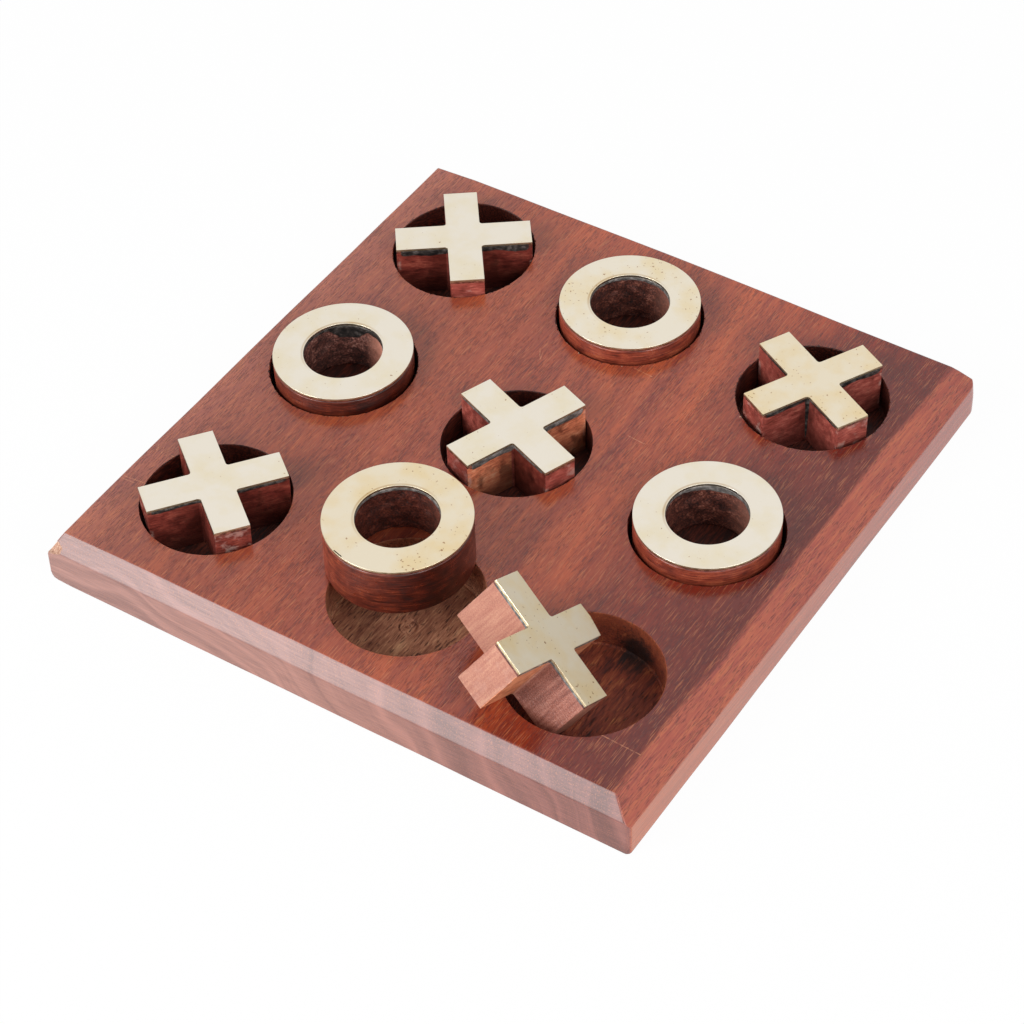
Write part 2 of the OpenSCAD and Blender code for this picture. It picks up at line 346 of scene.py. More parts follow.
def make_board_wood():
    """Sheesham, planed, sanded and brushed with lacquer: orange-brown with purple-brown heart streaks, paler
    at the sap side, brighter where the side is cut across the layers, greyer where the fibres end, with
    clusters of short open pores, and glossy enough to mirror what stands on it."""
    material, tree, place = new_material("sheesham, planed and lacquered")
    x, y, _ = add(tree, "SeparateXYZ", (place,)).outputs
    across = add(tree, "MapRange", {"Value": x, "From Min": -BOARD_W / 2, "From Max": BOARD_W / 2})
    along = add(tree, "MapRange", {"Value": y, "From Min": -COLOUR_REACH, "From Max": COLOUR_REACH})
    normal = add(tree, "TexCoord").outputs["Normal"]
    sideways, lengthways, upwards = add(tree, "SeparateXYZ", (normal,)).outputs

    # The grain, as a tone from dark to light
    rings = add(tree, "VectorMath", (place, FROM_PITH), operation="ADD")
    layers = growth_layers(tree, rings, 5.0)
    blotches = mottle(tree, place, (2.0, 45, 2.0), 3.0, 0.55)
    fibres = mottle(tree, place, (0.4, 14, 0.4), 3.0, 0.6)
    streaked = add(tree, "Mix", {"Factor": 0.42, "A": layers, "B": blotches}, data_type="FLOAT")
    grained = add(tree, "Mix", {"Factor": 0.42, "A": streaked, "B": fibres}, data_type="FLOAT")
    tone = add(tree, "MapRange", {"Value": grained, "From Min": 0.36, "From Max": 0.64})

    # The top, the right bevel, the right side and the ends, each over the one before
    top = planed_colour(tree, tone, across, along)
    bevel = add(tree, "ValToRGB", (tone,), stops=[
        (0.1, "#8a413a"), (0.4, "#a14b3d"), (0.6, "#ad5441"), (0.9, "#bb6244"),
    ])
    edge = add(tree, "Mix", {"Factor": 0.02, "A": across, "B": blotches}, data_type="FLOAT")
    bevel_share = add(tree, "ValToRGB", (edge,), stops=[(0.949, 0.0), (0.957, 1.0)])
    bevelled = add(tree, "Mix", {"Factor": bevel_share, "A": top, "B": bevel}, data_type="RGBA")
    side = side_colour(tree, tone, along)
    side_share = add(tree, "ValToRGB", (sideways,), stops=[(0.9, 0.0), (0.99, 1.0)])
    long_grain = add(tree, "Mix", {"Factor": side_share, "A": bevelled, "B": side}, data_type="RGBA")
    ends = end_colour(tree, place, layers, across, upwards)
    facing = add(tree, "Math", (lengthways,), operation="ABSOLUTE")
    end_share = add(tree, "ValToRGB", (facing,), stops=[(0.35, 0.0), (0.7, 1.0)])
    whole = add(tree, "Mix", {"Factor": end_share, "A": long_grain, "B": ends}, data_type="RGBA")

    # Dark pores, painted golden glints between them, and pale scratches
    covered = add(tree, "Math", (end_share, side_share), operation="MAXIMUM")
    bare = add(tree, "Math", (1.0, covered), operation="SUBTRACT")
    pores = add(tree, "Math", (open_pores(tree, place), bare), operation="MULTIPLY")
    pore_share = add(tree, "Math", (pores, 0.5), operation="MULTIPLY")
    pored = add(tree, "Mix", {"Factor": pore_share, "A": whole, "B": "#4a1a1c"}, data_type="RGBA")
    # Painted highlight: fine golden glints along the grain
    glints = mottle(tree, place, (0.22, 8, 0.22), 2.0)
    painted_glint_share = add(tree, "ValToRGB", (glints,), stops=[(0.56, 0.0), (0.68, 0.4)])
    golden = add(tree, "Mix", {"Factor": painted_glint_share, "A": pored, "B": "#cc7f52"}, data_type="RGBA")
    marks = scratches(tree, place, SCRATCHES, SCRATCH_HALF)
    broken = add(tree, "ValToRGB", (mottle(tree, place, (0.8, 0.8, 0.8)),), stops=[(0.36, 0.1), (0.6, 0.65)])
    mark_share = add(tree, "Math", (marks, broken), operation="MULTIPLY")
    base = add(tree, "Mix", {"Factor": mark_share, "A": golden, "B": "#d08a64"}, data_type="RGBA")

    rough = add(tree, "MapRange", {"Value": end_share, "To Min": 0.22, "To Max": 0.38})
    raised = add(tree, "Math", (fibres, 0.4), operation="MULTIPLY")
    height = add(tree, "Math", (raised, pores), operation="SUBTRACT")
    finish_material(tree, base, rough, height, 0.03, ior=1.58)
    return material


def make_bored_wood():
    """Sheesham as the boring bit left it: olive-brown, redder and darker in the heart, matt, with fibres
    torn up along the grain and a black spot on one wall. Painted light makes its walls redder and lighter
    towards the top."""
    material, tree, place = new_material("sheesham, bored and left raw")
    x, _, z = add(tree, "SeparateXYZ", (place,)).outputs
    fibres = mottle(tree, place, (0.4, 4, 0.4), 4.0, 0.65)
    tufts = mottle(tree, place, (2.5, 11, 3), 4.0, 0.65)
    tone = add(tree, "Mix", {"Factor": 0.5, "A": tufts, "B": fibres}, data_type="FLOAT")
    sap = add(tree, "ValToRGB", (tone,), stops=spread(("#6c3d2d", "#a0664c", "#be8162", "#e0ab82")))
    heart = add(tree, "ValToRGB", (tone,), stops=spread(("#43170f", "#742f1d", "#90432a", "#b66c41")))
    deep = add(tree, "MapRange", {"Value": x, "From Min": 16, "From Max": 34})
    floor = add(tree, "Mix", {"Factor": deep, "A": sap, "B": heart}, data_type="RGBA")
    # Painted light: the walls redder and lighter towards the top
    up = add(tree, "MapRange", {"Value": z, "From Min": 4.5, "From Max": 13.0, "To Max": 0.6})
    wall = add(tree, "Mix", {"Factor": up, "A": floor, "B": "#a9522f"}, data_type="RGBA")
    # A black spot on the back wall, ragged at its edge
    from_spot = add(tree, "VectorMath", (place, BLACK_SPOT), operation="DISTANCE").outputs["Value"]
    ragged = add(tree, "Math", (tone, 14.0), operation="MULTIPLY")
    reach = add(tree, "Math", (from_spot, ragged), operation="ADD")
    blackened = add(tree, "MapRange", {"Value": reach, "From Min": 13.0, "From Max": 9.5, "To Max": 0.9})
    face = add(tree, "Mix", {"Factor": blackened, "A": wall, "B": "#0c0404"}, data_type="RGBA")
    open_grain = mottle(tree, place, (0.35, 2.5, 0.35), 1.0)
    pores = add(tree, "ValToRGB", (open_grain,), stops=[(0.6, 0.0), (0.7, 1.0)])
    pore_share = add(tree, "Math", (pores, 0.7), operation="MULTIPLY")
    base = add(tree, "Mix", {"Factor": pore_share, "A": face, "B": "#24120c"}, data_type="RGBA")
    height = add(tree, "Math", (fibres, pores), operation="SUBTRACT")
    finish_material(tree, base, 0.65, height, 0.25)
    return material


def make_shaded_pocket_wood():
    """Sheesham of the pockets that hold a piece: dark red-brown, nearly black, as painted shade, with a dull
    shine.
    """
    material, tree, place = new_material("sheesham, bored, painted dark as shade")
    fibres = mottle(tree, place, (0.4, 4, 0.4), 3.0, 0.6)
    base = add(tree, "ValToRGB", (fibres,), stops=[(0.38, "#240d09"), (0.5, "#421a13"), (0.62, "#6a3021")])
    finish_material(tree, base, 0.5, fibres, 0.12)
    return material


def make_torn_wood():
    """Sheesham broken off at a corner or torn at a rim: dry orange-brown splinters."""
    material, tree, place = new_material("sheesham, broken")
    fibres = mottle(tree, place, (0.5, 0.9, 0.5), 4.0, 0.7)
    base = add(tree, "ValToRGB", (fibres,), stops=[(0.35, "#9a6c5a"), (0.5, "#c89c84"), (0.65, "#dfbfa8")])
    finish_material(tree, base, 0.7, fibres, 0.15)
    return material


# Wood of the pieces

def make_sawn_wood(name, shades, stain_and_shade_share, roughness, layers=(3.5, 1.7, 1.7), bloom_level=0.5):
    """Sheesham of a cross, sawn and filed: mottled through its shades, with short fibres along its own X,
    fine saw marks, a white bloom at its ends, dark stain spots, and painted shade deep in its notches and
    towards its foot."""
    material, tree, place = new_material(name)
    x, y, z = add(tree, "SeparateXYZ", (place,)).outputs
    fibres = mottle(tree, place, (2.2, 0.32, 0.26), 4.0, 0.65)
    patches = mottle(tree, place, layers, 4.0, 0.6)
    tone = add(tree, "Mix", {"Factor": 0.5, "A": patches, "B": fibres}, data_type="FLOAT")
    face = add(tree, "ValToRGB", (tone,), stops=spread(shades))

    # Painted shade: darker deep in the notches and towards the foot, added to the real stain spots
    aside = [add(tree, "Math", (part,), operation="ABSOLUTE") for part in (x, y)]
    reach = add(tree, "Math", aside, operation="MAXIMUM")
    notch = add(tree, "MapRange", {"Value": reach, "From Min": 14, "From Max": 4, "To Max": 0.6})
    height = add(tree, "Math", (z, STACK), operation="MODULO")
    foot = add(tree, "MapRange", {"Value": height, "From Min": 9, "From Max": 0, "To Max": 0.9})
    stain = mottle(tree, place, (4, 4, 5), 3.0, 0.6)
    spots = add(tree, "MapRange", {"Value": stain, "From Min": 0.5, "From Max": 0.68, "To Max": 0.7})
    painted_shade = add(tree, "Math", (notch, foot), operation="ADD")
    stained = add(tree, "Math", (painted_shade, spots), operation="ADD", use_clamp=True)
    share = add(tree, "Math", (stained, stain_and_shade_share), operation="MULTIPLY")
    darkened = add(tree, "Mix", {"Factor": share, "A": face, "B": "#2c0e08"}, data_type="RGBA")

    dust = mottle(tree, place, (3, 3, 2.2), 4.0, 0.6)
    bloom = add(tree, "ValToRGB", (dust,), stops=[(0.54, 0.0), (0.64, bloom_level)])
    at_end = add(tree, "MapRange", {"Value": reach, "From Min": BLOOM_FROM, "From Max": BLOOM_TO})
    bloom_share = add(tree, "Math", (bloom, at_end), operation="MULTIPLY")
    base = add(tree, "Mix", {"Factor": bloom_share, "A": darkened, "B": "#c9a79c"}, data_type="RGBA")

    saw_marks = mottle(tree, place, (9, 9, 0.3), 2.0)
    surface = add(tree, "Math", (fibres, saw_marks), operation="ADD")
    finish_material(tree, base, roughness, surface, 0.08)
    return material


def make_turned_wood(name, shade_level):
    """Sheesham of a ring, turned and lacquered: orange-red with fine streaks round it and dark blotches, and
    nearly black to a level towards its own +X, as end grain and painted shade."""
    material, tree, place = new_material(name)
    streaks = mottle(tree, place, (5, 5, 0.24), 4.0, 0.6)
    blotches = mottle(tree, place, (3.2, 3.2, 2.4), 4.0, 0.65)
    tone = add(tree, "Mix", {"Factor": 0.38, "A": streaks, "B": blotches}, data_type="FLOAT")
    face = add(tree, "ValToRGB", (tone,), stops=spread(("#4c1a11", "#8f3d2b", "#ad5039", "#cf7652")))
    # Painted shade with the end grain: darker towards the ring's own +X, up to its level
    end = add(tree, "ValToRGB", (tone,), stops=[(0.38, "#1c0704"), (0.5, "#380f08"), (0.62, "#642617")])
    x = add(tree, "SeparateXYZ", (place,)).outputs[0]
    reach = add(tree, "MapRange", {"Value": x, "From Min": -PIECE_R, "From Max": PIECE_R})
    ends = add(tree, "ValToRGB", (reach,), stops=[(0.27, 0.0), (0.45, 0.55), (0.9, 0.85), (1.0, 1.0)])
    end_share = add(tree, "Math", (ends, shade_level), operation="MULTIPLY")
    base = add(tree, "Mix", {"Factor": end_share, "A": face, "B": end}, data_type="RGBA")
    rough = add(tree, "ValToRGB", (blotches,), stops=[(0.35, 0.42), (0.65, 0.26)])
    finish_material(tree, base, rough, streaks, 0.06, ior=1.58)
    return material


def make_ring_bore(name, shades, painted_light_share):
    """The raw bore of a ring, smeared with glue: dark brown, rough and finely mottled, with painted light
    paling one side.
    """
    material, tree, place = new_material(name)
    crumbs = mottle(tree, place, (0.5, 0.5, 0.4), 4.0, 0.65)
    smear = mottle(tree, place, (3, 3, 2), 3.0, 0.6)
    tone = add(tree, "Mix", {"Factor": 0.6, "A": smear, "B": crumbs}, data_type="FLOAT")
    face = add(tree, "ValToRGB", (tone,), stops=list(zip((0.37, 0.47, 0.55, 0.65), shades)))
    # Painted light: one side of the bore paler
    lit_way = Vector((0.77, 0.64, 0)) / RING_HOLE_R
    reach = add(tree, "VectorMath", (place, lit_way), operation="DOT_PRODUCT").outputs["Value"]
    pale = add(tree, "MapRange", {"Value": reach, "From Min": 0.2, "From Max": 0.85, "To Max": painted_light_share})
    base = add(tree, "Mix", {"Factor": pale, "A": face, "B": "#d8937d"}, data_type="RGBA")
    finish_material(tree, base, 0.5, crumbs, 0.25)
    return material


# Brass, glue and card

def make_brass(name, clean, tarnished, speck_level, reflects_bevel=False, nicks=()):
    """Brass sheet, rubbed flat on abrasive paper: pale and softly blurred, with rub marks, yellow patches of
    tarnish, and brown specks, which grow fewer as their level rises. The rub marks are drawn coarser than
    real ones, so that they show. A ring's sheet has a golden line painted round a part of its hole, as the
    reflection of a worn bevel."""
    material, tree, place = new_material(name)
    rub = mottle(tree, place, (0.25, 5, 5), 3.0)
    patch = mottle(tree, place, (8, 8, 8), 3.0, 0.55)
    patch_share = add(tree, "ValToRGB", (patch,), stops=[(0.42, 0.0), (0.7, 1.0)])
    face = add(tree, "Mix", {"Factor": patch_share, "A": clean, "B": tarnished}, data_type="RGBA")
    nearby = add(tree, "Math", (patch, 0.4), operation="MULTIPLY")
    spotted = add(tree, "Math", (mottle(tree, place, (0.8, 0.8, 0.8), 2.0), nearby), operation="ADD")
    speck_share = add(tree, "MapRange", {
        "Value": spotted, "From Min": speck_level, "From Max": speck_level + 0.06, "To Max": 0.75,
    })
    base = add(tree, "Mix", {"Factor": speck_share, "A": face, "B": "#94613a"}, data_type="RGBA")
    if reflects_bevel:
        # Painted reflection: a golden line round the hole
        line_share = add(tree, "Math", (painted_bevel_reflection(tree, place), patch), operation="MULTIPLY")
        base = add(tree, "Mix", {"Factor": line_share, "A": base, "B": "#a87c34"}, data_type="RGBA")
    if nicks:
        nick_share = scratches(tree, place, nicks, NICK_HALF)
        base = add(tree, "Mix", {"Factor": nick_share, "A": base, "B": "#1d1712"}, data_type="RGBA")
    rough = add(tree, "MapRange", {"Value": rub, "To Min": 0.24, "To Max": 0.38})
    finish_material(tree, base, rough, rub, 0.003, metallic=1.0)
    return material


def make_brass_edge():
    """The sawn and filed edge of brass sheet: darker and duller than its face."""
    material, tree, place = new_material("brass sheet, filed edge")
    lines = mottle(tree, place, (1.5, 1.5, 0.2), 3.0)
    base = add(tree, "ValToRGB", (lines,), stops=[(0.35, "#a08c68"), (0.65, "#e0d2b2")])
    finish_material(tree, base, 0.5, lines, 0.02, metallic=1.0)
    return material


def make_glue(name, shades):
    """Two-part glue, squeezed out and hardened: glossy and a little lumpy."""
    material, tree, place = new_material(name)
    lumps = mottle(tree, place, (1.2, 1.2, 0.9), 3.0)
    base = add(tree, "ValToRGB", (lumps,), stops=list(zip((0.36, 0.52, 0.68), shades)))
    finish_material(tree, base, 0.3, lumps, 0.06)
    return material


def make_card():
    """Matt white card, nearly white to the camera and to mirrors, with the object's faint shadow kept."""
    material, tree = empty_material("white card")
    seen = add(tree, "LightPath")
    card = add(tree, "BsdfDiffuse", {"Color": "#f4f4f4"})
    glow = add(tree, "Emission", {"Color": "#ffffff", "Strength": 1.0})
    looks = (seen.outputs["Is Camera Ray"], seen.outputs["Is Glossy Ray"])
    direct = add(tree, "Math", looks, operation="MAXIMUM")
    share = add(tree, "Math", (direct, 0.97), operation="MULTIPLY")
    add(tree, "OutputMaterial", {"Surface": add(tree, "MixShader", (share, card, glow))})
    return material


# Shapes

def ramp(value, start, end):
    """0 up to a start, 1 past an end, and a share of the way between them."""
    return min(1.0, max(0.0, (value - start) / (end - start)))


def round_off(bm, places, width, segments, affect="EDGES"):
    """Rounds edges by a width, or with VERTICES the corners of a flat outline."""
    bmesh.ops.bevel(
        bm, geom=places, offset=width, offset_type="OFFSET", segments=segments, profile=0.5,
        affect=affect, clamp_overlap=False, material=-1,
    )


def soften(bm, width, segments=2, angle=40):
    """Rounds every edge that is sharper than an angle in degrees."""
    sharp = [e for e in bm.edges if len(e.link_faces) == 2 and e.calc_face_angle() > math.radians(angle)]
    round_off(bm, sharp, width, segments)


def slice_across(bm, direction, start, end, step):
    """Cuts the faces by a row of planes, so that the surface can be bent."""
    at = start
    while at < end:
        geometry = bm.verts[:] + bm.edges[:] + bm.faces[:]
        bmesh.ops.bisect_plane(bm, geom=geometry, dist=0.0005, plane_co=direction * at, plane_no=direction)
        at += step


def roughen(bm, depth, cell, seed, leave):
    """Moves the points by a smooth noise, as hand work does, but for those to leave."""
    for v in bm.verts:
        if not leave(v.co):
            v.co += depth * noise.noise_vector(v.co / cell + Vector((seed, -seed, 0.7 * seed)))


def paint(bm, number, chosen):
    """Gives a material's number to the faces whose middles are chosen."""
    for face in bm.faces:
        if chosen(face.calc_center_median()):
            face.material_index = number


def spin_round(bm, profile, steps):
    """Turns a profile of points joined by edges round the upright axis."""
    bmesh.ops.spin(
        bm, geom=profile, cent=(0, 0, 0), axis=(0, 0, 1), angle=2 * math.pi, steps=steps, use_merge=True,
    )
    bmesh.ops.remove_doubles(bm, verts=bm.verts[:], dist=0.001)
    bmesh.ops.recalc_face_normals(bm, faces=bm.faces[:])


def new_mesh(name, bm, materials):
    """A mesh of a finished shape, with its materials."""
    mesh = bpy.data.meshes.new(name)
    bm.to_mesh(mesh)
    bm.free()
    for material in materials:
        mesh.materials.append(material)
    return mesh


def new_object(name, data):
    """An object of a mesh, a lamp or a camera, put in the scene."""
    thing = bpy.data.objects.new(name, data)
    bpy.context.scene.collection.objects.link(thing)
    return thing


def finish_piece(name, bm, body, materials, place, grain, node):
    """Makes a shape a piece that stands for a CAD node: placed, in metres, with the frame of its grain."""
    mesh = new_mesh(name, bm, materials)
    attribute = mesh.attributes.new("grain", "FLOAT_VECTOR", "POINT")
    for vertex, item in zip(mesh.vertices, attribute.data):
        item.vector = grain @ vertex.co
    mesh.transform(Matrix.Scale(MM, 4) @ place)
    mesh.shade_smooth()
    mesh.set_sharp_from_angle(angle=math.radians(35))
    piece = new_object(name, mesh)
    even = piece.modifiers.new("even faces", "WEIGHTED_NORMAL")
    even.keep_sharp = True
    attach(piece, body)
    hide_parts(node)


def cut(blank, tools, materials):
    """Takes the tools' shapes out of the blank. The cut faces keep the tools' material numbers."""
    things = [new_object("cut", new_mesh("cut", bm, materials)) for bm in [blank] + tools]
    for tool in things[1:]:
        step = things[0].modifiers.new("cut", "BOOLEAN")
        step.operation = "DIFFERENCE"
        step.solver = "EXACT"
        step.object = tool
    graph = bpy.context.evaluated_depsgraph_get()
    made = bpy.data.meshes.new_from_object(things[0].evaluated_get(graph))
    left = bmesh.new()
    left.from_mesh(made)
    spent = [made] + [thing.data for thing in things]
    for thing in things:
        bpy.data.objects.remove(thing)
    for mesh in spent:
        bpy.data.meshes.remove(mesh)
    return left


# Board

def make_board_blank():
    """The slab before boring: rounded upright corners, four bevels and soft arrises, cut up to be bent."""
    bm = bmesh.new()
    size = Matrix.Diagonal((BOARD_W, BOARD_D, BOARD_T, 1))
    bmesh.ops.create_cube(bm, size=1, matrix=Matrix.Translation((0, 0, BOARD_T / 2)) @ size)
    for side, end, radius in CORNERS:
        corner = Vector((side * BOARD_W / 2, end * BOARD_D / 2))
        upright = [e for e in bm.edges if all((v.co.xy - corner).length < 0.01 for v in e.verts)]
        round_off(bm, upright, radius, 8)
    for facing, reach, width, height in BEVELS:
        normal = facing * height + Vector((0, 0, width))
        foot = facing * reach + Vector((0, 0, BOARD_T - height))
        geometry = bm.verts[:] + bm.edges[:] + bm.faces[:]
        bmesh.ops.bisect_plane(
            bm, geom=geometry, dist=0.0005, plane_co=foot, plane_no=normal, clear_outer=True,
        )
        bmesh.ops.holes_fill(bm, edges=[e for e in bm.edges if e.is_boundary])
    bmesh.ops.recalc_face_normals(bm, faces=bm.faces[:])
    soften(bm, 0.3, segments=3, angle=30)
    slice_across(bm, Vector((1, 0, 0)), start=-74, end=75, step=4)
    slice_across(bm, Vector((0, 1, 0)), start=-78, end=79, step=4)
    slice_across(bm, Vector((0, 0, 1)), start=1, end=13, step=1)
    return bm


def wear_board(bm):
    """Bends the slab, more towards its top, as handwork and wear did, and keeps it inside the CAD box."""
    for v in bm.verts:
        x, y, z = v.co
        upper = ramp(z, 7, 13)
        wave = noise.noise_vector(Vector((x, y, z)) / 24)
        # The top is uneven and dips towards the front left corner
        front_left = ramp(-x, 42, 76) ** 2 * ramp(-y, 66, 75)
        v.co.z += upper * (0.1 * wave.z - 0.3 * front_left)
        # The back edge bows out in its middle and draws in at its left end
        bowed = 0.6 * math.exp(-((x + 10) / 40) ** 2)
        drawn_in = 0.7 * ramp(-x, 62, 76)
        v.co.y += upper * ramp(y, 62, 74) * (bowed - drawn_in)
        # The front left corner is rubbed off at its foot, and the back right one below its bevels
        front_left_worn = 0.6 * max(0.0, 1 - z / 1.5)
        back_right_worn = 0.7 * math.exp(-((z - 9.5) / 3) ** 2)
        for corner, worn, reach in ((-1, front_left_worn, 3), (1, back_right_worn, 6)):
            near = max(0.0, 1 - math.hypot(x - corner * BOARD_W / 2, y - corner * BOARD_D / 2) / reach)
            v.co -= Vector((corner, corner, 0)) * worn * near * math.sqrt(0.5)
        # No face is quite flat
        v.co.x = max(-BOARD_W / 2, min(BOARD_W / 2, v.co.x + 0.15 * wave.x))
        v.co.y = max(-BOARD_D / 2, min(BOARD_D / 2, v.co.y + 0.15 * wave.y))
        v.co.z = min(BOARD_T, v.co.z)


def tear_mouth(bm, number, torn_rim):
    """Widens a pocket's mouth where fibres tore, and bares splinters along the front of a torn rim."""
    for v in bm.verts:
        if v.co.z > BOARD_T - 0.3 and v.co.xy.length > 1:
            around = Vector((v.co.x, v.co.y, 0)).normalized() * 9 + Vector((0, 0, 5 * number))
            torn = max(0.0, noise.noise(around) - 0.1)
            fine = max(0.0, noise.noise(around * 4) - 0.1)
            chipped = torn_rim * fine if v.co.z > BOARD_T - 0.1 else 0.0
            v.co.xy *= 1 + (0.12 * torn + 0.12 * fine + chipped) / POCKET_R

    def splintered(co):
        at_rim = BOARD_T - 0.3 < co.z < BOARD_T + 0.1 and co.y < -0.5 * POCKET_R
        return at_rim and noise.noise(co * 1.2 + Vector((0, 0, 3 * number))) > 0.15

    if torn_rim:
        paint(bm, TORN, splintered)


def make_pocket_tool(number, x, y, depth, width, length, wood, torn_rim):
    """What the bit takes out: a flat floor with the marks of its point and its spur and a scored edge, a
    straight wall, and a mouth with torn fibres."""
    floor = BOARD_T - depth
    # Points of radius and height, from the mark of the bit's point out to the wall and up past the mouth
    profile = [
        (0, floor - 0.8), (0.4, floor - 0.5), (0.8, floor - 0.05), (1.7, floor - 0.05), (2.0, floor - 0.4),
        (2.3, floor), (POCKET_R - 0.9, floor), (POCKET_R - 0.5, floor - 0.25), (POCKET_R - 0.1, floor),
        (POCKET_R, floor + 0.4), (POCKET_R, BOARD_T - 0.35), (POCKET_R + 0.05, BOARD_T - 0.15),
        (POCKET_R + 0.2, BOARD_T + 0.02), (POCKET_R + 0.25, BOARD_T + 2), (0, BOARD_T + 2),
    ]
    bm = bmesh.new()
    line = [bm.verts.new((r, 0, z)) for r, z in profile]
    edges = [bm.edges.new(pair) for pair in zip(line, line[1:])]
    spin_round(bm, line + edges, 300)
    paint(bm, wood, lambda co: True)
    tear_mouth(bm, number, torn_rim)
    bmesh.ops.scale(bm, verts=bm.verts[:], vec=(width / (2 * POCKET_R), length / (2 * POCKET_R), 1))
    bmesh.ops.translate(bm, verts=bm.verts[:], vec=(x, y, 0))
    return bm


def make_chip_tool():
    """The piece broken out of the front left corner."""
    bm = bmesh.new()
    bmesh.ops.create_icosphere(bm, subdivisions=4, radius=1.0)
    for v in bm.verts:
        v.co *= 1 + 0.12 * noise.noise(v.co * 2.5) + 0.08 * noise.noise(v.co * 9)
    bmesh.ops.scale(bm, verts=bm.verts[:], vec=CHIP_SIZE)
    bmesh.ops.translate(bm, verts=bm.verts[:], vec=CHIP_AT)
    paint(bm, TORN, lambda co: True)
    return bm


def make_board(materials):
    """The slab, bored, chipped and worn. The materials come in the order of their numbers."""
    blank = make_board_blank()
    wear_board(blank)
    tools = [make_pocket_tool(number, *pocket) for number, pocket in enumerate(POCKETS)]
    slab = cut(blank, tools + [make_chip_tool()], materials)
    grain = Matrix.Rotation(math.radians(GRAIN_RISE), 4, "X")
    finish_piece("board_slab", slab, "board", materials, Matrix.Identity(4), grain, "board")


# Game pieces

def make_cross_shape(ends, grow, base, height, arris):
    """A cross of two bars, standing on a base, with rounded arrises: each end is given by its points as seen
    along its own arm, and the whole outline grows by a width."""
    bm = bmesh.new()
    half = ARM_HALF + grow
    outline = []
    inner = []
    for quarter, end in enumerate(ends):
        turn = Matrix.Rotation(math.radians(90 * quarter), 4, "Z")
        outline += [bm.verts.new(turn @ Vector((x + grow, y * half / ARM_HALF, base))) for x, y in end]
        inner.append(bm.verts.new(turn @ Vector((half, half, base))))
        outline.append(inner[-1])
    bm.faces.new(outline)
    round_off(bm, inner, NOTCH_R, 4, "VERTICES")
    top = bmesh.ops.extrude_face_region(bm, geom=bm.faces[:])["geom"]
    bmesh.ops.translate(bm, verts=[v for v in top if isinstance(v, bmesh.types.BMVert)], vec=(0, 0, height))
    bmesh.ops.recalc_face_normals(bm, faces=bm.faces[:])
    soften(bm, arris)
    return bm


def make_ring_shape(outer_radius, base, top, arris):
    """A ring turned round its hole, between two heights, with rounded corners."""
    bm = bmesh.new()
    section = [(RING_HOLE_R, base), (outer_radius, base), (outer_radius, top), (RING_HOLE_R, top)]
    points = [bm.verts.new((x, 0, z)) for x, z in section]
    bm.faces.new(points)
    round_off(bm, points, arris, 3, "VERTICES")
    profile = bm.edges[:]
    bmesh.ops.delete(bm, geom=bm.faces[:], context="FACES_ONLY")
    spin_round(bm, profile, 160)
    return bm


def run_glue(bm, foot, run, seed, drip, leave=lambda co: False):
    """Lets a band of glue bulge and run down unevenly over its foot, most on the sides that face its own -Y,
    and adds its drip."""
    bm.normal_update()
    drip_x, drip_y, drip_length, drip_reach = drip
    for v in bm.verts:
        out = Vector((v.normal.x, v.normal.y, 0))
        if out.length < 0.2 or leave(v.co):
            continue
        spot = Vector((v.co.x, v.co.y, 7 * seed))
        slow = noise.noise(spot / 5)
        fine = noise.noise(spot / 1.1)
        nearness = max(0.0, 1 - math.hypot(v.co.x - drip_x, v.co.y - drip_y) / drip_reach)
        facing = 0.2 + 0.8 * max(0.0, -out.normalized().y)
        ending = min(1.0, max(0.0, GLUE_RUNS_TO - max(abs(v.co.x), abs(v.co.y))))
        if v.co.z < foot + 0.15:
            v.co.z -= run * facing * ending * max(0.0, 0.8 + 0.6 * slow + 0.1 * fine)
            v.co.z -= drip_length * min(1.0, 1.8 * nearness)
        bulge = facing * (0.12 + 0.08 * slow + 0.03 * fine) + 0.2 * nearness
        v.co += out.normalized() * (0.03 + min(0.25, bulge))


def on_flats(co, height):
    """Whether a point is on the foot or the top of a piece of wood, which stay flat."""
    return co.z < ON_FACE or co.z > height - ON_FACE


def stand_on(node, turned, height):
    """The place of a piece: its middle is the middle of its wood's CAD box, as the wood is the same both
    ways round."""
    low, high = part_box(node)
    return Matrix.Translation((low + high) / 2 / MM) @ turned @ Matrix.Translation((0, 0, -height / 2))


